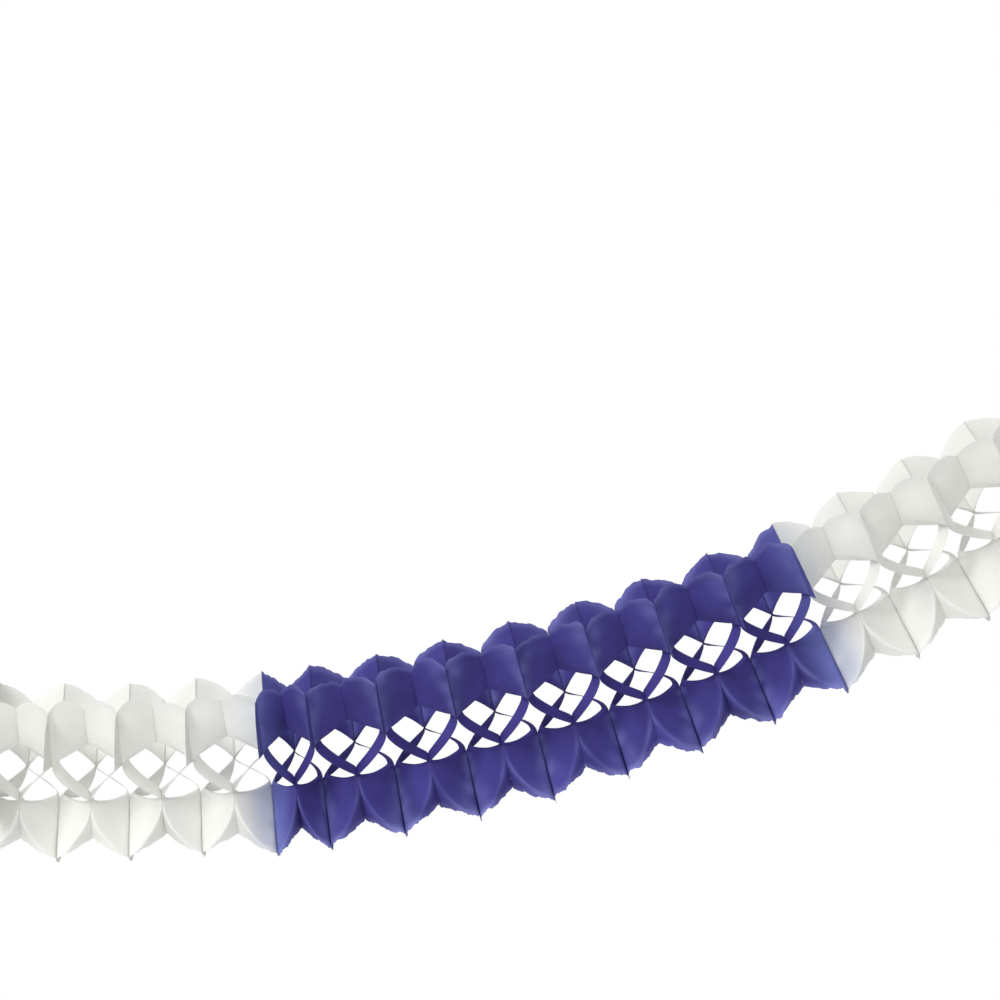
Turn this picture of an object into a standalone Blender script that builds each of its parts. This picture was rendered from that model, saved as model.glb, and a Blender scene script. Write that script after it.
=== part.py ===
"""Paper garland: die-cut tissue leaves, glued in turn on two sets of three radial lines, hung as a swag.

Each leaf is one piece of tissue: a ring with three petals. It is glued to one neighbour on the A lines and
to the other on the B lines, so the stack opens into cells when it is drawn out. A card closes each end.
X runs along the swag, Z is up and the front faces -Y. The origin is the middle of the hang hole in the card
at the higher end.
"""

import math
from typing import NamedTuple

import bmesh
import bpy
from mathutils import Vector

# The string of leaves: colour sections from the low end to the high end, counted in cells of two leaves
WHITE_LOW_CELLS = 4
BLUE_CELLS = 8
WHITE_HIGH_CELLS = 4
PITCH_LOW = 0.067  # length of the first cell
PITCH_HIGH = 0.0756  # length of the last cell, drawn out more by the weight below it
SWAG_RADIUS = 1.63  # the catenary's radius at its lowest point
LOW_OVERHANG = 0.072  # arc length from the low end card to the lowest point
JOINT_CELL_SHARE = 0.72  # the first blue cell is drawn out less than its neighbours
CELL_TILT = 0.94  # share of the swag's slope that the leaves follow, because they hang back towards upright

# The flat leaf
LEAF_THICKNESS = 0.0005
GLUE_GAP = 0.0003
HUB_HOLE_RADIUS = 0.043  # inner edge of the ring, flat
RING_WIDTH = 0.009  # width of the strips between the petals
PETAL_RADIUS_A = 0.115  # flat radius of a petal's side at its A line
PETAL_RADIUS_B = 0.093  # flat radius of a petal's side at its B line
PETAL_BULGE = 0.005  # how far the petal's outline rises between its two sides
GLUE_LINE_WIDTH = 0.003

# The opened leaf
OPEN_HOLE_RADIUS = 0.028  # inner edge of the ring at its glue lines, once drawn out
PETAL_ANGLE = math.radians(51.4)  # from an A line to the B line across a petal
FIRST_A_ANGLE = math.radians(85.6)  # from straight up towards the front
STRIP_TAUTNESS = 0.75  # 0 keeps the strip on its circle, 1 pulls it straight
STRIP_LAG = 0.3  # how much later than its inner edge a strip's outer edge leaves its A line
RING_RISE = 0.006  # how far the ring rides above the middle of the petals' tips

FRONT_PUSH = 0.012  # how far forward the B line above the front petals is pushed
REAR_SINK = 0.004  # how far the ring's inner edge sags at the rear B line
REAR_DROOP = 0.003  # how much further its outer edge sags there

# At an A line only the ring's outer edge is glued, so its inner edge cuts the corner there
INNER_EDGE_LIFT = 0.17  # share of the way across to the B plane
INNER_EDGE_TURN = math.radians(10.0)

FIN_GAP = 0.012  # share of the way across that a fin leans away from its glue plane
CREASE_SOFTNESS = 0.05
CURL_SOFTNESS = 0.08
TUCK_WIDTH = 0.14  # share of the way round in which the tuck grows


class PetalFold(NamedTuple):
    """The crease that a petal takes: one side stands on a glue plane as a fin, the other spans the cell."""

    fin_on_a: bool
    crease_share: float  # where the crease meets the outline, as a share of the way from A to B
    fan: float  # angle from the A line to the B line, at the rate at which the fin spreads
    curl: float  # how far the B line's outer end is drawn back
    tuck: float  # how far the ring's inner edge is tucked down and back


PETAL_FOLDS = (
    PetalFold(fin_on_a=True, crease_share=0.65, fan=math.radians(60.0), curl=0.0, tuck=0.0),
    PetalFold(fin_on_a=True, crease_share=0.62, fan=PETAL_ANGLE, curl=0.030, tuck=0.009),
    PetalFold(fin_on_a=False, crease_share=0.30, fan=PETAL_ANGLE, curl=0.0, tuck=0.0),
)

# Mesh divisions
PETAL_COLUMNS = 8
STRIP_COLUMNS = 4
PETAL_ROWS = 3

# The end cards
CARD_THICKNESS = 0.0008
CARD_LOBE_RADIUS = 0.100
CARD_WAIST_RADIUS = 0.042
CARD_SEGMENTS = 48
HANG_HOLE_RADIUS = 0.004
HANG_HOLE_SEGMENTS = 16

WHITE = (0.86, 0.86, 0.84, 1.0)
BLUE = (0.055, 0.040, 0.330, 1.0)
CARD_WHITE = (0.82, 0.82, 0.80, 1.0)
PAPER_ROUGHNESS = 0.85

PETALS = 3
LEAVES = 2 * (WHITE_LOW_CELLS + BLUE_CELLS + WHITE_HIGH_CELLS)
LEAF_STEP = LEAF_THICKNESS + GLUE_GAP
SECTOR = math.pi / PETALS


def clamp(value, low=0.0, high=1.0):
    return max(low, min(high, value))


def leaf_length(index):
    """Arc length that one leaf is drawn out to: half a cell, in cells that grow evenly longer."""
    cell = index // 2
    cells = LEAVES // 2
    pitch = PITCH_LOW + (PITCH_HIGH - PITCH_LOW) * cell / (cells - 1)
    return 0.5 * pitch * (JOINT_CELL_SHARE if cell == WHITE_LOW_CELLS else 1.0)


def plane_position(index):
    """Arc length of the glue plane before leaf number index."""
    return sum(leaf_length(before) for before in range(index))


SWAG_LENGTH = plane_position(LEAVES)


def swag_frame(arc):
    """The swag's axis at this arc length from the low end: its point, the leaf plane's normal and its up."""
    along = (arc - LOW_OVERHANG) / SWAG_RADIUS
    point = Vector((SWAG_RADIUS * math.asinh(along), 0.0, SWAG_RADIUS * math.sqrt(1.0 + along * along)))
    tilt = CELL_TILT * math.atan(along)
    normal = Vector((math.cos(tilt), 0.0, math.sin(tilt)))
    return point, normal, Vector((-normal.z, 0.0, normal.x))


def card_centre(arc, outward):
    """Middle of the end card that lies outside the glue plane at this arc length."""
    point, normal, _ = swag_frame(arc)
    return point + normal * (outward * 0.5 * (GLUE_GAP + CARD_THICKNESS))


HANG_POINT = card_centre(SWAG_LENGTH, 1.0)


def place(arc, forward, up):
    """World position of a point this far forward of the swag's axis and this far above it."""
    point, _, upward = swag_frame(arc)
    return point - HANG_POINT + Vector((0.0, -forward, 0.0)) + upward * up


def ramp(value, softness):
    """Nothing below 0 and the value itself above, with the corner rounded over this half width."""
    if value <= -softness:
        return 0.0
    if value >= softness:
        return value
    return (value + softness) ** 2 / (4.0 * softness)


def bent(share, knee, at_knee, end):
    """Run from 0 to the end value in two straight legs that meet in a rounded knee."""
    soft = min(CREASE_SOFTNESS, knee, 1.0 - knee)
    if soft < 1e-4:
        return end * share
    first = at_knee / knee
    second = (end - at_knee) / (1.0 - knee)
    return first * share + (second - first) * ramp(share - knee, soft)


def crease_at(fold, reach):
    """Share of the way from A to B at which the crease lies, at this share of the way outwards."""
    grown = reach * (2.0 - reach)
    return fold.crease_share * grown if fold.fin_on_a else 1.0 - (1.0 - fold.crease_share) * grown


def petal_crossed(fold, share, reach):
    """Share of the way across the cell that a point of a petal has gone."""
    knee = crease_at(fold, reach)
    if fold.fin_on_a:
        return bent(share, knee, FIN_GAP * knee / fold.crease_share, 1.0)
    return bent(share, knee, 1.0 - FIN_GAP * (1.0 - knee) / (1.0 - fold.crease_share), 1.0)


def petal_turned(fold, share, reach):
    """Angle from the petal's A line."""
    if not fold.fin_on_a:
        return PETAL_ANGLE * share
    knee = crease_at(fold, reach)
    return bent(share, knee, fold.fan * knee, PETAL_ANGLE)


def petal_outline(share):
    """Flat radius of a petal's outer edge, from its A line at 0 to its B line at 1."""
    side = PETAL_RADIUS_A + (PETAL_RADIUS_B - PETAL_RADIUS_A) * share
    return side + PETAL_BULGE * math.sin(math.pi * share)


def glued_share(share, radius):
    """Share of the way round, held still for half a glue line at both ends."""
    margin = 0.5 * GLUE_LINE_WIDTH / (radius * SECTOR)
    return clamp((share - margin) / (1.0 - 2.0 * margin))


def open_point(sector, share, radius, plane_a, plane_b):
    """Where a point of the flat leaf lies once the garland is drawn out.

    Sectors go round from the first A line: even ones are strips and odd ones are petals, counted so that
    sector 2k is the strip after A line k, and sector 2k + 1 is the petal that ends at A line k + 1.
    """
    line = (sector + 1) // 2
    held = glued_share(share, radius)
    outward = clamp((radius - HUB_HOLE_RADIUS) / RING_WIDTH)
    rho = radius - HUB_HOLE_RADIUS + OPEN_HOLE_RADIUS
    angle = FIRST_A_ANGLE + line * 2.0 * SECTOR - INNER_EDGE_TURN * (1.0 - outward) * (1.0 - share) ** 2
    whole_reach = clamp((radius - HUB_HOLE_RADIUS) / (petal_outline(share) - HUB_HOLE_RADIUS))
    rise = RING_RISE * (1.0 - whole_reach)
    if sector % 2 == 1:
        fold = PETAL_FOLDS[line % PETALS]
        ring_edge = HUB_HOLE_RADIUS + RING_WIDTH
        reach = clamp((radius - ring_edge) / (petal_outline(share) - ring_edge))
        angle -= petal_turned(fold, share, reach)
        crossed = petal_crossed(fold, held, reach)
        tuck = fold.tuck * (1.0 - outward) ** 2 * clamp((1.0 - share) / TUCK_WIDTH) * math.sqrt(share)
        rise -= tuck
        back = tuck + fold.curl * ramp(reach + crossed - 1.0, CURL_SOFTNESS)
        pushed, drooped = line == PETALS, line == PETALS - 1
    else:
        strip_angle = 2.0 * SECTOR - PETAL_ANGLE
        angle += strip_angle * share
        crossed = held ** (1.0 + STRIP_LAG * outward)
        half = 0.5 * strip_angle
        straight = math.cos(half) / math.cos(half * (2.0 * share - 1.0))
        rho += OPEN_HOLE_RADIUS * (straight - 1.0) * STRIP_TAUTNESS
        reach = back = 0.0
        pushed, drooped = line == PETALS - 1, line == PETALS - 2
    if pushed:
        back -= FRONT_PUSH * crossed
    if drooped:
        rise -= (REAR_SINK + REAR_DROOP * outward) * share * (1.0 - reach)
    lift = INNER_EDGE_LIFT * (1.0 - outward) ** 2
    across = lift + (1.0 - lift) * crossed
    side = math.copysign(0.5 * LEAF_STEP, plane_b - plane_a)
    arc = (plane_a + side) + (plane_b - plane_a - 2.0 * side) * across
    return place(arc, rho * math.sin(angle) - back, rho * math.cos(angle) + rise)


def flat_leaf():
    """The die-cut leaf, flat: a ring, with three rows drawn outwards on each petal.

    Returns the bmesh and, for each vertex index, its sector, its share of the way from A to B and its
    flat radius.
    """
    leaf = bmesh.new()
    seats = []

    def column(sector, share, radii):
        angle = (sector + share if sector % 2 == 0 else sector + 1 - share) * SECTOR
        made = []
        for radius in radii:
            made.append(leaf.verts.new((radius * math.sin(angle), 0.0, radius * math.cos(angle))))
            seats.append((sector, share, radius))
        return made

    ring = (HUB_HOLE_RADIUS, HUB_HOLE_RADIUS + RING_WIDTH)
    columns = []
    for sector in range(2 * PETALS):
        petal = sector % 2 == 1
        count = PETAL_COLUMNS if petal else STRIP_COLUMNS
        first = 0 if petal else 1
        last = count if petal else count - 1
        for step in range(first, last + 1):
            share = step / count
            share = 1.0 - share if petal else share
            radii = list(ring)
            if petal:
                outer = petal_outline(share)
                rows = range(1, PETAL_ROWS + 1)
                radii += [ring[1] + (outer - ring[1]) * row / PETAL_ROWS for row in rows]
            columns.append(column(sector, share, radii))
    for here, there in zip(columns, columns[1:] + columns[:1]):
        for low in range(min(len(here), len(there)) - 1):
            leaf.faces.new((here[low], here[low + 1], there[low + 1], there[low]))
    return leaf, seats


def paper(name, colour):
    material = bpy.data.materials.new(name)
    material.use_nodes = True
    shader = material.node_tree.nodes["Principled BSDF"]
    shader.inputs["Base Color"].default_value = colour
    shader.inputs["Roughness"].default_value = PAPER_ROUGHNESS
    shader.inputs["Metallic"].default_value = 0.0
    return material


def add_object(name, shape, material):
    mesh = bpy.data.meshes.new(name)
    shape.to_mesh(mesh)
    shape.free()
    mesh.materials.append(material)
    made = bpy.data.objects.new(name, mesh)
    bpy.context.scene.collection.objects.link(made)
    return made


def make_leaf(name, index, material):
    """One leaf, folded to its opened form between its two glue planes and given its thickness."""
    leaf, seats = flat_leaf()
    near, far = plane_position(index), plane_position(index + 1)
    plane_a, plane_b = (near, far) if index % 2 == 0 else (far, near)
    leaf.verts.ensure_lookup_table()
    for vertex, (sector, share, radius) in zip(leaf.verts, seats):
        vertex.co = open_point(sector, share, radius, plane_a, plane_b)
    bmesh.ops.recalc_face_normals(leaf, faces=leaf.faces)
    made = add_object(name, leaf, material)
    wall = made.modifiers.new("Paper", "SOLIDIFY")
    wall.thickness = LEAF_THICKNESS
    wall.offset = 0.0
    wall.use_even_offset = False
    made.data.shade_smooth()
    return made


def make_card(name, arc, outward, material):
    """A three-lobed end card outside this glue plane, with the hang hole in its middle."""
    card = bmesh.new()
    outline = []
    for step in range(CARD_SEGMENTS):
        angle = 2.0 * math.pi * step / CARD_SEGMENTS
        lobe = 0.5 + 0.5 * math.cos(PETALS * (angle - FIRST_A_ANGLE))
        radius = CARD_WAIST_RADIUS + (CARD_LOBE_RADIUS - CARD_WAIST_RADIUS) * lobe
        outline.append((angle, radius))
    turn = 2.0 * math.pi / HANG_HOLE_SEGMENTS
    hole = [(turn * step, HANG_HOLE_RADIUS) for step in range(HANG_HOLE_SEGMENTS)]
    shift = card_centre(arc, outward) - swag_frame(arc)[0]

    def loop(points):
        verts = []
        for angle, radius in points:
            co = place(arc, radius * math.sin(angle), radius * math.cos(angle))
            verts.append(card.verts.new(co + shift))
        return [card.edges.new((a, b)) for a, b in zip(verts, verts[1:] + verts[:1])]

    edges = loop(outline) + loop(hole)
    bmesh.ops.triangle_fill(card, use_beauty=True, edges=edges)
    bmesh.ops.recalc_face_normals(card, faces=card.faces)
    made = add_object(name, card, material)
    wall = made.modifiers.new("Card", "SOLIDIFY")
    wall.thickness = CARD_THICKNESS
    wall.offset = 0.0
    return made


def main():
    for old in list(bpy.data.objects):
        bpy.data.objects.remove(old)
    white = paper("white tissue", WHITE)
    blue = paper("blue tissue", BLUE)
    card = paper("white card", CARD_WHITE)
    first_blue = 2 * WHITE_LOW_CELLS
    first_white_again = first_blue + 2 * BLUE_CELLS
    for index in range(LEAVES):
        if index < first_blue:
            make_leaf(f"white_low_leaf_{index + 1:02d}", index, white)
        elif index < first_white_again:
            make_leaf(f"blue_leaf_{index - first_blue + 1:02d}", index, blue)
        else:
            make_leaf(f"white_high_leaf_{index - first_white_again + 1:02d}", index, white)
    make_card("end_card_low", 0.0, -1.0, card)
    make_card("end_card_high", SWAG_LENGTH, 1.0, card)


main()
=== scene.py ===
"""Looks of the paper garland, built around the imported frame: tissue leaves, end cards, studio and camera.

X runs along the swag, Z is up and the front faces -Y. All lengths are in metres.
"""

from __future__ import annotations

import logging
import math
from dataclasses import dataclass, field, replace
from enum import Enum, IntEnum
from functools import cached_property
from itertools import accumulate

import bmesh
import bpy
from mathutils import Matrix, Vector, noise

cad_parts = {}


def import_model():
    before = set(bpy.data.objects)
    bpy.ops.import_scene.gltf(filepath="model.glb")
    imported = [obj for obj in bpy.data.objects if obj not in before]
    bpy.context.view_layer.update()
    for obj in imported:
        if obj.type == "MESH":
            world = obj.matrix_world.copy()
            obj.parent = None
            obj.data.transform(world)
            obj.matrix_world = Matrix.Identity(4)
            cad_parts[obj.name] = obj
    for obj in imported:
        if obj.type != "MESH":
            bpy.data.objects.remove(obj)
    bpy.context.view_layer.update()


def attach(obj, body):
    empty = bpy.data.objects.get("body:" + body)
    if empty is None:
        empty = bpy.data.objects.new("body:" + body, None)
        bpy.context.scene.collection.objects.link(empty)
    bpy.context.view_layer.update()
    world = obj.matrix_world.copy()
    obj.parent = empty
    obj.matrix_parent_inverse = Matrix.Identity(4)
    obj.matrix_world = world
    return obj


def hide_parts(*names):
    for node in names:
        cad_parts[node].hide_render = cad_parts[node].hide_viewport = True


LOG = logging.getLogger("garland")
PETALS = 3
SECTOR_ANGLE = math.pi / PETALS
# The fourth value is paleness of real rubbing and painted highlight; the fifth is painted light of the next
# colour.
VERTEX_VALUES = ("sector", "share", "reach", "wear_and_highlight", "painted_joint_light")
MERGE_DISTANCE = 1e-6
LEAST_LEG = 1e-4
LEAST_ROUNDING = 1e-5
PLAIN_WHITE = (1.0, 1.0, 1.0, 1.0)


def clamp(value: float, low: float = 0.0, high: float = 1.0) -> float:
    """Keep a value between two limits."""
    return max(low, min(high, value))


def smooth(value: float) -> float:
    """Ease a share from 0 to 1, level at both ends."""
    held = clamp(value)
    return held * held * (3.0 - 2.0 * held)


def hump(share: float) -> float:
    """Rise from 0 to 1 at half way and fall back to 0."""
    return 4.0 * share * (1.0 - share)


def bell(distance: float) -> float:
    """Fall off from 1 at no distance to nearly 0 at two widths, in which the distance is counted."""
    return math.exp(-distance * distance)


def at_edge(reach: float, band: float) -> float:
    """Rise from 0 to 1 within a band along a petal's edge, whose width is a share of the way outwards."""
    return smooth((reach - (1.0 - band)) / band)


def ramp(value: float, softness: float) -> float:
    """Give nothing below 0 and the value itself above, with the corner rounded.

    Args:
        value: The value.
        softness: Half width of the rounding.

    Returns:
        The part of the value that is above 0.
    """
    if value <= -softness:
        return 0.0
    if value >= softness:
        return value
    return (value + softness) ** 2 / (4.0 * softness)


def bent(share: float, knee: float, at_knee: float, end: float, softness: float) -> float:
    """Run from 0 to an end value in two straight legs with a rounded knee.

    Args:
        share: Share of the way along, 0 to 1.
        knee: Share at which the legs meet.
        at_knee: Value at the knee.
        end: Value at a share of 1.
        softness: Half width of the rounding.

    Returns:
        The value at this share.
    """
    if knee < LEAST_LEG or knee > 1.0 - LEAST_LEG:
        return end * share
    first, second = at_knee / knee, (end - at_knee) / (1.0 - knee)
    rounding = max(LEAST_ROUNDING, min(softness, knee, 1.0 - knee))
    return first * share + (second - first) * ramp(share - knee, rounding)


def add_object(name: str, shape: bmesh.types.BMesh, material: bpy.types.Material) -> bpy.types.Object:
    """Turn a bmesh into an object of the scene.

    Args:
        name: The object's name.
        shape: The bmesh, which is freed.
        material: The object's only material.

    Returns:
        The object, at the origin.
    """
    mesh = bpy.data.meshes.new(name)
    shape.to_mesh(mesh)
    shape.free()
    mesh.materials.append(material)
    made = bpy.data.objects.new(name, mesh)
    bpy.context.scene.collection.objects.link(made)
    return made


class Section(Enum):
    """The three colour sections of the string, with their node names' stem and material slot."""

    WHITE_LOW = ("white_low_leaf", "white_tissue")
    BLUE = ("blue_leaf", "blue_tissue")
    WHITE_HIGH = ("white_high_leaf", "white_tissue")

    def node(self, number: int) -> str:
        """Name of the frame's node for this leaf of the section, counted from 1."""
        return f"{self.value[0]}_{number:02d}"

    @property
    def slot(self) -> str:
        """The record's material slot of the section."""
        return self.value[1]


class Sector(IntEnum):
    """The six parts of a leaf, in turn from its front A line down and round the back."""

    FRONT_STRIP = 0
    LOWER_PETAL = 1
    REAR_STRIP = 2
    REAR_PETAL = 3
    TOP_STRIP = 4
    FRONT_PETAL = 5

    @property
    def is_petal(self) -> bool:
        """Whether it holds a petal outside the ring."""
        return self % 2 == 1

    @property
    def a_line(self) -> int:
        """Number of its A line, where the front one is 0, and 3 after the whole way round."""
        return (self + 1) // 2


@dataclass(frozen=True)
class Swag:
    """The line that the garland hangs along: a catenary whose cells grow towards the higher end."""

    white_low_cells: int = 4
    blue_cells: int = 8
    white_high_cells: int = 4
    pitch_low: float = 0.067
    pitch_high: float = 0.0756
    radius: float = 1.63
    low_overhang: float = 0.072
    joint_cell_share: float = 0.72
    cell_tilt: float = 0.94
    end_gap: float = 0.00055
    low_petals_short: float = 0.008

    @property
    def leaves(self) -> int:
        """Number of leaves, two to a cell."""
        return 2 * (self.white_low_cells + self.blue_cells + self.white_high_cells)

    @cached_property
    def planes(self) -> list[float]:
        """Arc length of each glue plane, one more of them than leaves."""
        return list(accumulate(map(self.leaf_length, range(self.leaves)), initial=0.0))

    @cached_property
    def origin(self) -> Vector:
        """The hang hole of the higher end card, which the frame has at its origin."""
        point, normal, _ = self.frame(self.planes[-1])
        return point + normal * self.end_gap

    @property
    def joints(self) -> tuple[int, int]:
        """Numbers of the glue planes where one colour meets the other."""
        first_blue = 2 * self.white_low_cells
        return first_blue, first_blue + 2 * self.blue_cells

    def leaf_length(self, index: int) -> float:
        """Work out the arc length that one leaf is drawn out to.

        Args:
            index: The leaf's number, counted from 0 at the low end.

        Returns:
            Half the pitch of its cell. The cell at the low colour joint is drawn out less than the others.
        """
        cell, cells = index // 2, self.leaves // 2
        pitch = self.pitch_low + (self.pitch_high - self.pitch_low) * cell / (cells - 1)
        return 0.5 * pitch * (self.joint_cell_share if cell == self.white_low_cells else 1.0)

    def frame(self, arc: float) -> tuple[Vector, Vector, Vector]:
        """Find the swag's axis at an arc length.

        Args:
            arc: Arc length from the low end.

        Returns:
            The point on the axis, the leaf plane's normal and its upward direction.
        """
        along = (arc - self.low_overhang) / self.radius
        point = Vector((self.radius * math.asinh(along), 0.0, self.radius * math.sqrt(1.0 + along * along)))
        tilt = self.cell_tilt * math.atan(along)
        normal = Vector((math.cos(tilt), 0.0, math.sin(tilt)))
        return point, normal, Vector((-normal.z, 0.0, normal.x))

    def drawn_in(self, arc: float) -> float:
        """How much shorter the lower petals hang here: the low white section is pressed up a little."""
        return self.low_petals_short * smooth((self.planes[self.joints[0]] - arc) / self.pitch_low)


@dataclass(frozen=True)
class LeafCut:
    """The die-cut outline of one flat leaf, its torn edge, and how finely it is divided."""

    hole_radius: float = 0.043
    ring_width: float = 0.009
    side_a: float = 0.115
    side_b: float = 0.093
    bulge: float = 0.005
    glue_width: float = 0.003
    tears_per_metre: float = 90.0
    tear_by_petal: float = 7.3
    tear_by_leaf: float = 3.7
    fine_tear_scale: float = 3.1
    fine_tear_row: float = 11.0
    coarse_tear: float = 0.75
    fine_tear: float = 0.45
    torn_band: float = 0.2
    petal_columns: int = 56
    petal_rows: int = 28
    strip_columns: int = 14
    ring_rows: int = 5

    @property
    def ring_edge(self) -> float:
        """Flat radius at which the ring ends and its petals begin."""
        return self.hole_radius + self.ring_width

    def outline(self, share: float) -> float:
        """Flat radius of a petal's outer edge, from its A line at 0 to its B line at 1."""
        return self.side_a + (self.side_b - self.side_a) * share + self.bulge * math.sin(math.pi * share)

    def outward(self, radius: float) -> float:
        """Share of the way across the ring, from its hole outwards."""
        return clamp((radius - self.hole_radius) / self.ring_width)

    def reach(self, share: float, radius: float) -> float:
        """Share of the way from the ring to the petal's outer edge."""
        return clamp((radius - self.ring_edge) / (self.outline(share) - self.ring_edge))

    def held(self, share: float, radius: float) -> float:
        """Share of the way between two glued lines, counted from the sides of their glue."""
        margin = 0.5 * self.glue_width / (radius * SECTOR_ANGLE)
        return clamp((share - margin) / (1.0 - 2.0 * margin))

    def radii(self, sector: Sector) -> list[float]:
        """Flat radii of a sector's rows.

        Args:
            sector: Which part of the leaf.

        Returns:
            The radii from the hole outwards, with the petal's rows up to its longest side.
        """
        rows = [self.hole_radius + self.ring_width * row / self.ring_rows
                for row in range(self.ring_rows + 1)]
        if sector.is_petal:
            rows += [self.ring_edge + (self.side_a - self.ring_edge) * row / self.petal_rows
                     for row in range(1, self.petal_rows + 1)]
        return rows

    def torn(self, share: float, petal: int, leaf: int) -> float:
        """Work out how deep the torn edge is.

        Args:
            share: Share of the way from the petal's A line to its B line.
            petal: The petal's number in the order of cutting.
            leaf: The leaf's number.

        Returns:
            The depth, about -1 to 1.
        """
        along = share * SECTOR_ANGLE * self.side_a
        at = Vector((along * self.tears_per_metre, self.tear_by_petal * petal, self.tear_by_leaf * leaf))
        coarse = noise.noise(at)
        fine = noise.noise(at * self.fine_tear_scale + Vector((0.0, 0.0, self.fine_tear_row)))
        return self.coarse_tear * coarse + self.fine_tear * fine


@dataclass(frozen=True)
class Drift:
    """Smooth chance along the string: how far it moves on with each leaf and each petal, and its own row."""

    by_leaf: float
    by_petal: float
    row: float

    def at(self, leaf: int, petal: int) -> float:
        """Chance value for one petal of one leaf, about -1 to 1."""
        return noise.noise(Vector((self.by_leaf * leaf, self.by_petal * petal, self.row)))


@dataclass(frozen=True)
class Variation:
    """How much the petals differ from leaf to leaf, and by which chance."""

    crease: float = 0.06
    swell: float = 1.2
    curl: float = 0.8
    crease_drift: Drift = Drift(by_leaf=1.7, by_petal=5.1, row=0.4)
    swell_drift: Drift = Drift(by_leaf=2.3, by_petal=3.3, row=8.4)
    curl_drift: Drift = Drift(by_leaf=2.3, by_petal=3.3, row=2.9)


@dataclass(frozen=True)
class Ruffle:
    """Soft waves that stand out of a petal."""

    waves_round: float = 3.0
    waves_outward: float = 1.6
    by_leaf: float = 0.9
    broad_height: float = 0.0016
    fine_height: float = 0.0007
    fine_scale: float = 2.7

    def height(self, leaf: int, sector: Sector, share: float, reach: float) -> float:
        """Work out how far a point of a petal stands out.

        Args:
            leaf: The leaf's number.
            sector: Which petal.
            share: Share of the way from its A line to its B line.
            reach: Share of the way outwards.

        Returns:
            The height in metres, none at the glue lines and at the ring.
        """
        at = Vector((self.waves_round * share + sector, self.waves_outward * reach, self.by_leaf * leaf))
        waves = self.broad_height * noise.noise(at) + self.fine_height * noise.noise(at * self.fine_scale)
        return hump(share) * smooth(reach) * waves


@dataclass(frozen=True)
class WearAndSheen:
    """How pale the tissue is painted, and how wide, along its creases, its curled corners and its torn edge:
    partly real rubbing and partly painted highlight.
    """

    on_crease: float = 0.46
    facet_side: float = 0.13
    fin_side: float = 0.02
    on_curl: float = 0.28
    curl_width: float = 0.07
    on_edge: float = 0.32
    edge_band: float = 0.16
    patches_round: float = 5.0
    patches_per_metre: float = 60.0
    patch_level: float = 0.6
    patch_swing: float = 0.8

    def patch(self, leaf: int, share: float, radius: float) -> float:
        """How strongly the paleness of rubbing and painted highlight shows at this spot, which changes in
        patches.
        """
        at = Vector((radius * self.patches_per_metre, share * self.patches_round, leaf))
        return self.patch_level + self.patch_swing * noise.noise(at)


@dataclass(frozen=True)
class PetalFold:
    """The crease that a petal takes: one side stands on a glue plane, the other spans the cell."""

    fin_on_a: bool
    crease_share: float
    gap: float = 0.006
    fan: float = math.radians(51.4)
    curl: float = 0.0
    swell: float = 0.0
    tuck: float = 0.0
    softness: float = 0.05

    def crease(self, reach: float) -> float:
        """Share of the way from A to B at which the crease lies, at this share of the way outwards."""
        grown = reach * (2.0 - reach)
        return self.crease_share * grown if self.fin_on_a else 1.0 - (1.0 - self.crease_share) * grown

    def crossed(self, share: float, reach: float) -> float:
        """Find how far across the cell a point stands.

        Args:
            share: Share of the way from the A line to the B line.
            reach: Share of the way outwards.

        Returns:
            Share of the way from the A line's glue plane to the B line's.
        """
        knee = self.crease(reach)
        if self.fin_on_a:
            at_knee = self.gap * knee / self.crease_share
        else:
            at_knee = 1.0 - self.gap * (1.0 - knee) / (1.0 - self.crease_share)
        return bent(share, knee, at_knee, 1.0, self.softness)

    def turned(self, share: float, reach: float, petal_angle: float) -> float:
        """Find how far round the swag a point stands.

        Args:
            share: Share of the way from the A line to the B line.
            reach: Share of the way outwards.
            petal_angle: Angle between the two lines once the leaf is drawn out.

        Returns:
            The angle from the A line.
        """
        if not self.fin_on_a:
            return petal_angle * share
        knee = self.crease(reach)
        return bent(share, knee, self.fan * knee, petal_angle, self.softness)


@dataclass(frozen=True)
class LeafFold:
    """How a leaf stands once it is drawn out, with the folds of its front, lower and rear petals."""

    hole_radius: float = 0.028
    petal_angle: float = math.radians(51.4)
    first_a: float = math.radians(85.6)
    tautness: float = 0.75
    strip_lag: float = 0.3
    rear_lags: tuple[float, float] = (-0.8, 0.9)
    rear_delay: float = 0.45
    twisted_lags: tuple[float, float] = (0.6, -0.4)
    ring_rise: float = 0.006
    inner_lift: float = 0.17
    inner_turn: float = math.radians(10.0)
    twisted_lift: float = 0.04
    twisted_turn: float = math.radians(2.0)
    front_push: float = 0.012
    rear_droop: float = 0.003
    rear_sink: float = 0.004
    petals: tuple[PetalFold, ...] = (
        PetalFold(fin_on_a=True, crease_share=0.65, fan=math.radians(60.0), swell=0.007),
        PetalFold(fin_on_a=True, crease_share=0.62, curl=0.080, tuck=0.009),
        PetalFold(fin_on_a=False, crease_share=0.30, swell=0.003),
    )
    tuck_width: float = 0.14
    curl_softness: float = 0.05
    step: float = 0.0001

    def sunk(self, outward: float) -> float:
        """How much lower the rear B line lies, at this share of the way across the ring."""
        return self.rear_sink + self.rear_droop * outward


@dataclass(frozen=True)
class TissueFinish:
    """A paper: its colour, the paler one of rubbed folds and edges with painted highlight, and the painted
    light of the next colour beside a joint.
    """

    name: str
    colour: tuple[float, float, float]
    wear_and_highlight: tuple[float, float, float]
    joint_light_colour: tuple[float, float, float]
    clearness: float
    mottle: float
    relief: float = 0.25
    relief_height: float = 0.0012
    shine: float = 0.25
    tear_depth: float = 0.0
    unfolded: bool = True


# Each paper's second colour is the paler one of rubbed folds and edges with painted highlight; its third is
# painted light of the next colour beside a joint.
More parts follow.
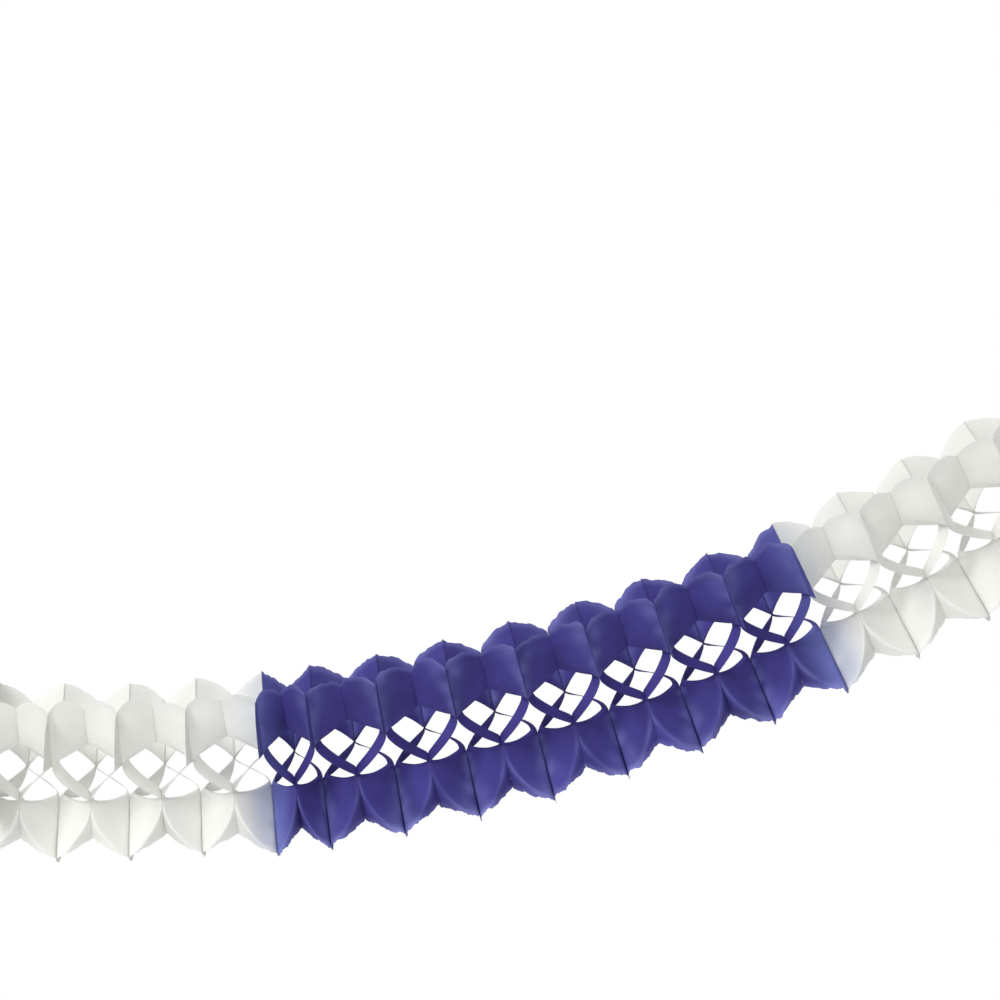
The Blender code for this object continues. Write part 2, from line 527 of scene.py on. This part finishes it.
WHITE_TISSUE = TissueFinish("white tissue", colour=(0.835, 0.835, 0.81), wear_and_highlight=(0.87, 0.87, 0.85),
                            joint_light_colour=(0.42, 0.46, 0.60), clearness=0.45, mottle=0.16, tear_depth=0.0022)
BLUE_TISSUE = TissueFinish("blue tissue", colour=(0.046, 0.037, 0.208), wear_and_highlight=(0.21, 0.22, 0.53),
                           joint_light_colour=(0.14, 0.17, 0.46), clearness=0.14, mottle=1.10, tear_depth=0.0045)
CARD_FINISH = TissueFinish("white card", colour=(0.80, 0.80, 0.78), wear_and_highlight=(0.86, 0.86, 0.84),
                           joint_light_colour=(0.80, 0.80, 0.78), clearness=0.05, mottle=0.10, relief=0.12,
                           unfolded=False)


@dataclass
class TissueGroup:
    """The shader node group that all papers share: cloudy fibre, crepe lines, paler edges and folds of
    rubbing and painted highlight, and painted light of the next colour.
    """

    cloud_scale: float = 22.0
    cloud_detail: float = 5.0
    cloud_level: float = 0.5
    fibre_scale: float = 260.0
    fibre_detail: float = 3.0
    fibre_height: float = 0.15
    crepe_stretch: tuple[float, float, float] = (26.0, 55.0, 1.0)
    crepe_detail: float = 4.0
    crepe_roughness: float = 0.6
    smoothest: float = 0.72
    roughest: float = 0.90
    tree: bpy.types.NodeTree = field(init=False)

    INPUTS = {"Where": "NodeSocketVector", "Round": "NodeSocketVector", "Colour": "NodeSocketColor",
              "Wear and highlight": "NodeSocketColor", "Joint light": "NodeSocketColor", "Mottle": "NodeSocketFloat"}
    OUTPUTS = {"Colour": "NodeSocketColor", "Roughness": "NodeSocketFloat", "Height": "NodeSocketFloat"}

    def __post_init__(self) -> None:
        """Build the group once."""
        self.tree = bpy.data.node_groups.new("tissue paper", "ShaderNodeTree")
        for name, kind in self.INPUTS.items():
            self.tree.interface.new_socket(name, in_out="INPUT", socket_type=kind)
        for name, kind in self.OUTPUTS.items():
            self.tree.interface.new_socket(name, in_out="OUTPUT", socket_type=kind)
        self.build()

    def node(self, kind: str, **values: object) -> bpy.types.Node:
        """Add a node to the group.

        Args:
            kind: The node's type.
            values: Its properties.

        Returns:
            The new node.
        """
        made = self.tree.nodes.new(kind)
        for key, value in values.items():
            setattr(made, key, value)
        return made

    def texture(self, where: bpy.types.NodeSocket, scale: float, detail: float,
                roughness: float = 0.5) -> bpy.types.NodeSocket:
        """Add a noise texture.

        Args:
            where: The coordinates that it reads.
            scale: Its scale.
            detail: Its levels of detail.
            roughness: How strong the finer levels are.

        Returns:
            Its value, 0 to 1.
        """
        made = self.node("ShaderNodeTexNoise")
        made.inputs["Scale"].default_value = scale
        made.inputs["Detail"].default_value = detail
        made.inputs["Roughness"].default_value = roughness
        self.tree.links.new(where, made.inputs["Vector"])
        return made.outputs["Fac"]

    def build(self) -> None:
        """Lay out the nodes."""
        link = self.tree.links.new
        given = self.node("NodeGroupInput")
        out = self.node("NodeGroupOutput")
        cloud = self.texture(given.outputs["Where"], self.cloud_scale, self.cloud_detail)
        fibre = self.texture(given.outputs["Where"], self.fibre_scale, self.fibre_detail)
        stretch = self.node("ShaderNodeMapping")
        stretch.inputs["Scale"].default_value = self.crepe_stretch
        link(given.outputs["Round"], stretch.inputs["Vector"])
        crepe = self.texture(stretch.outputs["Vector"], 1.0, self.crepe_detail, self.crepe_roughness)
        level = self.node("ShaderNodeMath", operation="SUBTRACT")
        link(cloud, level.inputs[0])
        level.inputs[1].default_value = self.cloud_level
        tone = self.node("ShaderNodeMath", operation="MULTIPLY_ADD")
        link(level.outputs["Value"], tone.inputs[0])
        link(given.outputs["Mottle"], tone.inputs[1])
        tone.inputs[2].default_value = 1.0
        toned = self.node("ShaderNodeMix", data_type="RGBA", blend_type="MULTIPLY")
        toned.inputs["Factor"].default_value = 1.0
        link(given.outputs["Colour"], toned.inputs["A"])
        link(tone.outputs["Value"], toned.inputs["B"])
        colour = toned.outputs["Result"]
        # Mix in the painted light of the next colour, then the paler colour of rubbing and painted highlight.
        for attribute, over in (("painted_joint_light", "Joint light"), ("wear_and_highlight", "Wear and highlight")):
            share = self.node("ShaderNodeAttribute", attribute_name=attribute)
            mixed = self.node("ShaderNodeMix", data_type="RGBA")
            link(share.outputs["Fac"], mixed.inputs["Factor"])
            link(colour, mixed.inputs["A"])
            link(given.outputs[over], mixed.inputs["B"])
            colour = mixed.outputs["Result"]
        link(colour, out.inputs["Colour"])
        rough = self.node("ShaderNodeMapRange")
        rough.inputs["To Min"].default_value = self.smoothest
        rough.inputs["To Max"].default_value = self.roughest
        link(fibre, rough.inputs["Value"])
        link(rough.outputs["Result"], out.inputs["Roughness"])
        height = self.node("ShaderNodeMath", operation="MULTIPLY_ADD")
        link(fibre, height.inputs[0])
        height.inputs[1].default_value = self.fibre_height
        link(crepe, height.inputs[2])
        link(height.outputs["Value"], out.inputs["Height"])

    def material(self, finish: TissueFinish) -> bpy.types.Material:
        """Make the material of one finish.

        Args:
            finish: The paper's colours and clearness.

        Returns:
            The material: a plain sheet that also lets light through.
        """
        made = bpy.data.materials.new(finish.name)
        made.use_nodes = True
        tree = made.node_tree
        tree.nodes.clear()
        link = tree.links.new
        out = tree.nodes.new("ShaderNodeOutputMaterial")
        paper = tree.nodes.new("ShaderNodeBsdfPrincipled")
        glow = tree.nodes.new("ShaderNodeBsdfTranslucent")
        mix = tree.nodes.new("ShaderNodeMixShader")
        bump = tree.nodes.new("ShaderNodeBump")
        pattern = tree.nodes.new("ShaderNodeGroup")
        pattern.node_tree = self.tree
        for socket, colour in (("Colour", finish.colour), ("Wear and highlight", finish.wear_and_highlight), ("Joint light", finish.joint_light_colour)):
            pattern.inputs[socket].default_value = (*colour, 1.0)
        pattern.inputs["Mottle"].default_value = finish.mottle
        for socket, uv_map in (("Where", "flat"), ("Round", "polar")):
            if finish.unfolded:
                where = tree.nodes.new("ShaderNodeUVMap")
                where.uv_map = uv_map
                link(where.outputs["UV"], pattern.inputs[socket])
            else:
                where = tree.nodes.new("ShaderNodeTexCoord")
                link(where.outputs["Object"], pattern.inputs[socket])
        paper.inputs["Specular IOR Level"].default_value = finish.shine
        mix.inputs["Fac"].default_value = finish.clearness
        bump.inputs["Strength"].default_value = finish.relief
        bump.inputs["Distance"].default_value = finish.relief_height
        link(pattern.outputs["Colour"], paper.inputs["Base Color"])
        link(pattern.outputs["Colour"], glow.inputs["Color"])
        link(pattern.outputs["Roughness"], paper.inputs["Roughness"])
        link(pattern.outputs["Height"], bump.inputs["Height"])
        link(bump.outputs["Normal"], paper.inputs["Normal"])
        link(paper.outputs["BSDF"], mix.inputs[1])
        link(glow.outputs["BSDF"], mix.inputs[2])
        link(mix.outputs["Shader"], out.inputs["Surface"])
        return made


@dataclass(frozen=True)
class Stand:
    """How a point stands in its cell: turned from its A line, crossed over, and moved out, back and down."""

    turned: float
    crossed: float
    out: float
    back: float
    drop: float


@dataclass
class Leaf:
    """One tissue leaf of the string: cut flat, drawn out between two glue planes and given a thickness."""

    swag: Swag
    cut: LeafCut
    fold: LeafFold
    finish: TissueFinish
    index: int
    thickness: float = 0.0002
    variation: Variation = Variation()
    ruffle: Ruffle = Ruffle()
    wear_and_sheen: WearAndSheen = WearAndSheen()
    # Strength of the painted light of the next colour: most on the lower petals.
    lower_joint_light: float = 0.75
    other_joint_light: float = 0.30
    flat_map_step: float = 0.37
    polar_map_step: float = 0.61
    petals: list[PetalFold] = field(init=False)

    def __post_init__(self) -> None:
        """Fold the petals a little differently on every leaf."""
        self.petals = [self.varied(number) for number in range(PETALS)]

    def varied(self, number: int) -> PetalFold:
        """Vary the fold of one petal.

        Args:
            number: The petal's number in the fold: front, lower or rear.

        Returns:
            This leaf's own fold of it. The curl is the same on the two leaves of a cell.
        """
        plain, by = self.fold.petals[number], self.variation
        crease = by.crease * by.crease_drift.at(self.index, number)
        swell = by.swell * by.swell_drift.at(self.index, number)
        curl = by.curl * by.curl_drift.at(self.index // 2, number)
        return replace(plain, crease_share=plain.crease_share + crease, swell=plain.swell * (1.0 + swell),
                       curl=plain.curl * (1.0 + curl))

    def petal(self, sector: Sector) -> PetalFold:
        """This leaf's fold of the petal in a sector."""
        return self.petals[sector.a_line % PETALS]

    def in_twist(self) -> bool:
        """Whether the leaf is in the low white section, whose rings are twisted to one side."""
        return self.index < 2 * self.swag.white_low_cells

    def inner_edge(self) -> tuple[float, float]:
        """Find how the ring's inner edge stands at an A line.

        Returns:
            How far it cuts the corner there, as a share of the way across the cell, and how far it turns.
        """
        if self.in_twist() and self.index % 2 == 1:
            return self.fold.twisted_lift, self.fold.twisted_turn
        return self.fold.inner_lift, self.fold.inner_turn

    def strip_lag(self, sector: Sector) -> float:
        """Find how much later than its inner edge the outer edge of a strip leaves its A line.

        Args:
            sector: Which strip.

        Returns:
            The lag, below 0 where the outer edge leaves first.
        """
        if sector is Sector.REAR_STRIP:
            return self.fold.rear_lags[self.index % 2]
        return self.fold.twisted_lags[self.index % 2] if self.in_twist() else self.fold.strip_lag

    def spin_sector(self, leaf: bmesh.types.BMesh, layers: dict[str, bmesh.types.BMLayerItem],
                    sector: Sector) -> None:
        """Spin one sector of the flat leaf from a radial line.

        Args:
            leaf: The flat leaf's bmesh.
            layers: Its vertex values, by name.
            sector: Which sector.
        """
        before = set(leaf.verts)
        turn = Matrix.Rotation(sector * SECTOR_ANGLE, 3, "Y")
        line = [leaf.verts.new(turn @ Vector((0.0, 0.0, radius))) for radius in self.cut.radii(sector)]
        edges = [leaf.edges.new(pair) for pair in zip(line, line[1:])]
        columns = self.cut.petal_columns if sector.is_petal else self.cut.strip_columns
        bmesh.ops.spin(leaf, geom=line + edges, cent=(0.0, 0.0, 0.0), axis=(0.0, 1.0, 0.0),
                       angle=SECTOR_ANGLE, steps=columns, use_duplicate=False)
        ring_edge = self.cut.ring_edge
        for vertex in leaf.verts:
            if vertex in before:
                continue
            angle = math.atan2(vertex.co.x, vertex.co.z) % (2.0 * math.pi)
            share = clamp((angle / SECTOR_ANGLE - sector + PETALS) % (2 * PETALS) - PETALS)
            vertex[layers["sector"]] = sector
            vertex[layers["share"]] = 1.0 - share if sector.is_petal else share
            vertex[layers["reach"]] = clamp((vertex.co.length - ring_edge) / (self.cut.side_a - ring_edge))

    def flat(self) -> bmesh.types.BMesh:
        """Cut the flat leaf: six sectors, a strip and a petal in turn.

        Returns:
            The flat mesh in the XZ plane, with the sector, share, reach and torn edge kept on its vertices.
        """
        leaf = bmesh.new()
        layers = {name: leaf.verts.layers.float.new(name) for name in VERTEX_VALUES}
        for sector in Sector:
            self.spin_sector(leaf, layers, sector)
        bmesh.ops.remove_doubles(leaf, verts=leaf.verts, dist=MERGE_DISTANCE)
        self.shape_outline(leaf, layers)
        return leaf

    def shape_outline(self, leaf: bmesh.types.BMesh, layers: dict[str, bmesh.types.BMLayerItem]) -> None:
        """Draw the petals' rows in to their outline and tear its edge.

        Args:
            leaf: The flat leaf's bmesh.
            layers: Its vertex values, by name.
        """
        cut = self.cut
        for vertex in leaf.verts:
            reach = vertex[layers["reach"]]
            if reach <= 0.0:
                continue
            share = vertex[layers["share"]]
            petal = int(vertex[layers["sector"]]) // 2
            radius = cut.ring_edge + (cut.outline(share) - cut.ring_edge) * reach
            torn = self.finish.tear_depth * cut.torn(share, petal, self.index)
            vertex.co = vertex.co.normalized() * (radius - torn * at_edge(reach, cut.torn_band))
            # A paler band along the torn edge: partly real rubbing, partly painted highlight.
            vertex[layers["wear_and_highlight"]] = at_edge(reach, self.wear_and_sheen.edge_band)

    def petal_stand(self, sector: Sector, share: float, radius: float) -> Stand:
        """Find how a point of a petal, or of the ring beside it, stands.

        Args:
            sector: Which petal.
            share: Share of the way from its A line to its B line.
            radius: Flat radius of the point.

        Returns:
            The point's stand.
        """
        fold, petal = self.fold, self.petal(sector)
        reach, outward = self.cut.reach(share, radius), self.cut.outward(radius)
        crossed = petal.crossed(self.cut.held(share, radius), reach)
        out = petal.swell * reach * hump(crossed) + self.ruffle.height(self.index, sector, share, reach)
        beside_a = smooth((1.0 - share) / fold.tuck_width) * math.sqrt(share)
        drop = petal.tuck * (1.0 - outward) ** 2 * beside_a
        back = petal.curl * ramp(math.hypot(reach, crossed) - 1.0, fold.curl_softness) + drop
        if sector is Sector.FRONT_PETAL:
            back -= fold.front_push * crossed
        if sector is Sector.REAR_PETAL:
            drop += fold.sunk(outward) * share * (1.0 - reach)
        return Stand(-petal.turned(share, reach, fold.petal_angle), crossed, out, back, drop)

    def strip_stand(self, sector: Sector, share: float, radius: float) -> Stand:
        """Find how a point of a strip of the ring stands, drawn taut from its A line to its B line.

        Args:
            sector: Which strip.
            share: Share of the way from its A line to its B line.
            radius: Flat radius of the point.

        Returns:
            The point's stand.
        """
        fold, outward = self.fold, self.cut.outward(radius)
        at_rear = sector is Sector.REAR_STRIP
        delay = fold.rear_delay if at_rear and not self.in_twist() else 0.0
        crossed = self.cut.held(share, radius) ** (1.0 + delay + self.strip_lag(sector) * outward)
        strip_angle = 2.0 * SECTOR_ANGLE - fold.petal_angle
        half = 0.5 * strip_angle
        straight = math.cos(half) / math.cos(half * (2.0 * share - 1.0))
        out = fold.hole_radius * (straight - 1.0) * fold.tautness
        back = -fold.front_push * crossed if sector is Sector.TOP_STRIP else 0.0
        return Stand(strip_angle * share, crossed, out, back, fold.sunk(outward) * share if at_rear else 0.0)

    def arc(self, across: float) -> float:
        """Find the arc length of a place in the leaf's cell.

        Args:
            across: Share of the way from the A lines' glue plane to the B lines'.

        Returns:
            The arc length, a hair inside the two planes so that neighbours don't share a face.
        """
        plane_a, plane_b = self.swag.planes[self.index:self.index + 2]
        if self.index % 2 == 1:
            plane_a, plane_b = plane_b, plane_a
        side = math.copysign(0.5 * self.fold.step, plane_b - plane_a)
        return (plane_a + side) + (plane_b - plane_a - 2.0 * side) * across

    def opened(self, sector: Sector, share: float, radius: float) -> Vector:
        """Find where a point of the flat leaf lies once the garland is drawn out.

        Args:
            sector: Which of the six sectors the point is in.
            share: Share of the way from the sector's A line to its B line.
            radius: Flat radius of the point.

        Returns:
            The point in the frame.
        """
        fold, cut = self.fold, self.cut
        stand = (self.petal_stand if sector.is_petal else self.strip_stand)(sector, share, radius)
        inward = 1.0 - cut.outward(radius)
        lift, turn = self.inner_edge()
        off_a = lift * inward ** 2
        arc = self.arc(off_a + (1.0 - off_a) * stand.crossed)
        line_angle = fold.first_a + sector.a_line * 2.0 * SECTOR_ANGLE
        angle = line_angle + stand.turned - turn * inward * (1.0 - share) ** 2
        rho = radius - cut.hole_radius + fold.hole_radius + stand.out
        if sector is Sector.LOWER_PETAL:
            rho -= self.swag.drawn_in(arc) * clamp((radius - cut.ring_edge) / (cut.side_b - cut.ring_edge))
        from_hole = clamp((radius - cut.hole_radius) / (cut.outline(share) - cut.hole_radius))
        forward = rho * math.sin(angle) - stand.back
        upward = rho * math.cos(angle) + fold.ring_rise * (1.0 - from_hole) - stand.drop
        point, _, up = self.swag.frame(arc)
        return point - self.swag.origin + Vector((0.0, -forward, 0.0)) + up * upward

    def creased(self, sector: Sector, share: float, radius: float) -> float:
        """Find how pale the tissue is painted by its creases and curled corners: partly real rubbing, partly
        painted highlight, wider on one side of a crease.

        Args:
            sector: Which of the six sectors the point is in.
            share: Share of the way from the sector's A line to its B line.
            radius: Flat radius of the point.

        Returns:
            The paleness, 0 to about 1.
        """
        if not sector.is_petal or radius < self.cut.ring_edge:
            return 0.0
        wear_and_sheen, petal = self.wear_and_sheen, self.petal(sector)
        reach = self.cut.reach(share, radius)
        beside = share - petal.crease(reach)
        width = wear_and_sheen.facet_side if (beside > 0.0) == petal.fin_on_a else wear_and_sheen.fin_side
        wear_and_highlight = wear_and_sheen.on_crease * bell(beside / width)
        if petal.curl:
            beyond = math.hypot(reach, petal.crossed(share, reach)) - 1.0
            wear_and_highlight += wear_and_sheen.on_curl * bell(beyond / wear_and_sheen.curl_width)
        return wear_and_highlight * wear_and_sheen.patch(self.index, share, radius)

    def painted_joint_light(self, sector: Sector, spot: Vector) -> float:
        """Find how much painted light of the other colour tints the tissue beside a colour joint.

        Args:
            sector: Which of the six sectors the point is in.
            spot: The point in the frame.

        Returns:
            The share of the other colour's painted light, 0 on leaves that are away from a joint.
        """
        for joint in self.swag.joints:
            if joint not in (self.index, self.index + 1):
                continue
            point, normal, _ = self.swag.frame(self.swag.planes[joint])
            away = abs((spot + self.swag.origin - point).dot(normal)) / self.swag.leaf_length(self.index)
            most = self.lower_joint_light if sector is Sector.LOWER_PETAL else self.other_joint_light
            return most * smooth(1.0 - away)
        return 0.0

    def build(self, name: str, material: bpy.types.Material) -> bpy.types.Object:
        """Make the leaf's object.

        Args:
            name: The object's name.
            material: The tissue's material.

        Returns:
            The finished object, at the origin.
        """
        leaf = self.flat()
        sector, share, _, wear_and_highlight, painted_joint_light = (leaf.verts.layers.float[value] for value in VERTEX_VALUES)
        flat_map, polar_map = leaf.loops.layers.uv.new("flat"), leaf.loops.layers.uv.new("polar")
        for face in leaf.faces:
            for corner in face.loops:
                seat = corner.vert
                corner[flat_map].uv = (seat.co.x + self.flat_map_step * self.index, seat.co.z)
                round_swag = seat[sector] + seat[share] + self.polar_map_step * self.index
                corner[polar_map].uv = (round_swag, seat.co.length)
        for vertex in leaf.verts:
            at = Sector(int(vertex[sector])), vertex[share], vertex.co.length
            # Paleness of the torn edge and creases: partly real rubbing, partly painted highlight.
            vertex[wear_and_highlight] = clamp(self.wear_and_sheen.on_edge * vertex[wear_and_highlight] + self.creased(*at))
            vertex.co = self.opened(*at)
            # Painted light of the next colour beside a colour joint.
            vertex[painted_joint_light] = self.painted_joint_light(at[0], vertex.co)
        bmesh.ops.recalc_face_normals(leaf, faces=leaf.faces)
        made = add_object(name, leaf, material)
        wall = made.modifiers.new("Paper", "SOLIDIFY")
        wall.thickness = self.thickness
        wall.offset = 0.0
        wall.use_even_offset = False
        made.modifiers.new("Flat sides", "WEIGHTED_NORMAL")
        made.data.shade_smooth()
        return made


@dataclass
class EndCard:
    """A three-lobed card outside one end of the string, with the hang hole in its middle."""

    swag: Swag
    first_a: float
    arc: float
    outward: float
    lobe_radius: float = 0.100
    waist_radius: float = 0.042
    hole_radius: float = 0.004
    thickness: float = 0.0008
    rim: float = 0.00015
    segments: int = 144

    def outline(self, angle: float) -> float:
        """Radius of the card's outer edge at this angle from up towards the front."""
        lobe = 0.5 + 0.5 * math.cos(PETALS * (angle - self.first_a))
        return self.waist_radius + (self.lobe_radius - self.waist_radius) * lobe

    def build(self, name: str, material: bpy.types.Material) -> bpy.types.Object:
        """Make the card's object.

        Args:
            name: The object's name.
            material: The card's material.

        Returns:
            The finished object, at the origin.
        """
        point, normal, up = self.swag.frame(self.arc)
        centre = point + normal * (self.outward * self.swag.end_gap) - self.swag.origin
        card = bmesh.new()
        for radius in (self.hole_radius, self.lobe_radius):
            bmesh.ops.create_circle(card, segments=self.segments, radius=radius)
        bmesh.ops.bridge_loops(card, edges=card.edges)
        for vertex in card.verts:
            angle = math.atan2(vertex.co.x, vertex.co.y)
            radius = vertex.co.length if vertex.co.length < self.waist_radius else self.outline(angle)
            across = Vector((0.0, -radius * math.sin(angle), 0.0))
            vertex.co = centre + across + up * (radius * math.cos(angle))
        bmesh.ops.recalc_face_normals(card, faces=card.faces)
        made = add_object(name, card, material)
        wall = made.modifiers.new("Card", "SOLIDIFY")
        wall.thickness = self.thickness
        wall.offset = 0.0
        made.modifiers.new("Rim", "BEVEL").width = self.rim
        return made


@dataclass(frozen=True)
class Lamp:
    """A large soft lamp aimed at the garland's middle, and its place from there."""

    name: str
    offset: tuple[float, float, float]
    size: float
    power: float

    def build(self, centre: Vector) -> None:
        """Hang the lamp.

        Args:
            centre: The garland's middle.
        """
        lamp = bpy.data.lights.new(self.name, "AREA")
        lamp.size = self.size
        lamp.energy = self.power
        made = bpy.data.objects.new(self.name, lamp)
        offset = Vector(self.offset)
        made.location = centre + offset
        made.rotation_euler = (-offset).to_track_quat("-Z", "Y").to_euler()
        bpy.context.scene.collection.objects.link(made)


@dataclass
class Studio:
    """Pale floor, soft light and the long lens that sees the garland as the photograph does."""

    centre: Vector = field(default_factory=lambda: Vector((-0.5632, 0.0, -0.0448)))
    width: float = 0.9711
    distance: float = 3.3
    sensor: float = 36.0
    floor_drop: float = 0.80
    floor_forward: float = 1.4
    floor_half: tuple[float, float, float] = (3.0, 2.7, 1.0)
    floor_colour: tuple[float, float, float, float] = (0.88, 0.88, 0.88, 1.0)
    floor_roughness: float = 0.9
    light_from_below: float = 0.42
    light_from_above: float = 0.92
    lamps: tuple[Lamp, ...] = (
        Lamp("key", (-1.7, -2.3, 1.4), size=1.2, power=78.0),
        Lamp("fill", (0.9, -2.4, 0.5), size=1.8, power=10.0),
    )

    def build(self) -> None:
        """Make the floor, the world, the lamps and the camera."""
        self.make_floor()
        self.make_world()
        for lamp in self.lamps:
            lamp.build(self.centre)
        self.make_camera()

    def make_floor(self) -> None:
        """Lay a plain pale floor well below the garland."""
        shape = bmesh.new()
        place = self.centre + Vector((0.0, -self.floor_forward, -self.floor_drop))
        bmesh.ops.create_grid(shape, x_segments=1, y_segments=1, size=1.0)
        bmesh.ops.scale(shape, vec=self.floor_half, verts=shape.verts)
        bmesh.ops.translate(shape, vec=place, verts=shape.verts)
        pale = bpy.data.materials.new("pale floor")
        pale.use_nodes = True
        shader = pale.node_tree.nodes["Principled BSDF"]
        shader.inputs["Base Color"].default_value = self.floor_colour
        shader.inputs["Roughness"].default_value = self.floor_roughness
        add_object("floor", shape, pale)

    def make_world(self) -> None:
        """Make a white surround that lights softly, most from above, and shows plain white to the camera."""
        world = bpy.data.worlds.new("surround")
        bpy.context.scene.world = world
        world.use_nodes = True
        tree = world.node_tree
        tree.nodes.clear()
        link = tree.links.new
        out = tree.nodes.new("ShaderNodeOutputWorld")
        path = tree.nodes.new("ShaderNodeLightPath")
        where = tree.nodes.new("ShaderNodeTexCoord")
        parts = tree.nodes.new("ShaderNodeSeparateXYZ")
        level = tree.nodes.new("ShaderNodeMapRange")
        level.inputs["From Min"].default_value = -1.0
        level.inputs["To Min"].default_value = self.light_from_below
        level.inputs["To Max"].default_value = self.light_from_above
        light = tree.nodes.new("ShaderNodeBackground")
        shown = tree.nodes.new("ShaderNodeBackground")
        for node in (light, shown):
            node.inputs["Color"].default_value = PLAIN_WHITE
        mix = tree.nodes.new("ShaderNodeMixShader")
        link(where.outputs["Generated"], parts.inputs["Vector"])
        link(parts.outputs["Z"], level.inputs["Value"])
        link(level.outputs["Result"], light.inputs["Strength"])
        link(path.outputs["Is Camera Ray"], mix.inputs["Fac"])
        link(light.outputs["Background"], mix.inputs[1])
        link(shown.outputs["Background"], mix.inputs[2])
        link(mix.outputs["Shader"], out.inputs["Surface"])

    def make_camera(self) -> None:
        """Set up the camera, level and square to the swag."""
        lens = bpy.data.cameras.new("camera")
        lens.sensor_width = self.sensor
        lens.lens = self.sensor * self.distance / self.width
        made = bpy.data.objects.new("camera", lens)
        made.location = self.centre + Vector((0.0, -self.distance, 0.0))
        made.rotation_euler = (math.radians(90.0), 0.0, 0.0)
        bpy.context.scene.collection.objects.link(made)
        bpy.context.scene.camera = made


def main() -> None:
    """Build the garland round the frame and report each piece."""
    logging.basicConfig(level=logging.INFO, format="%(message)s")
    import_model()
    bpy.context.scene.view_settings.view_transform = "Standard"
    swag, cut, fold = Swag(), LeafCut(), LeafFold()
    group = TissueGroup()
    papers = {finish.name: group.material(finish) for finish in (WHITE_TISSUE, BLUE_TISSUE, CARD_FINISH)}
    index = 0
    for section, cells in ((Section.WHITE_LOW, swag.white_low_cells), (Section.BLUE, swag.blue_cells),
                           (Section.WHITE_HIGH, swag.white_high_cells)):
        for number in range(1, 2 * cells + 1):
            node = section.node(number)
            finish = BLUE_TISSUE if section is Section.BLUE else WHITE_TISSUE
            piece = Leaf(swag, cut, fold, finish, index).build(f"{node}_tissue", papers[finish.name])
            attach(piece, "root")
            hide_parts(node)
            LOG.info("%s: %s", piece.name, finish.name)
            index += 1
    for node, arc, outward in (("end_card_low", 0.0, -1.0), ("end_card_high", swag.planes[-1], 1.0)):
        piece = EndCard(swag, fold.first_a, arc, outward).build(f"{node}_card", papers[CARD_FINISH.name])
        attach(piece, "root")
        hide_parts(node)
        LOG.info("%s: %s", piece.name, CARD_FINISH.name)
    Studio().build()


if __name__ == "__main__":
    main()
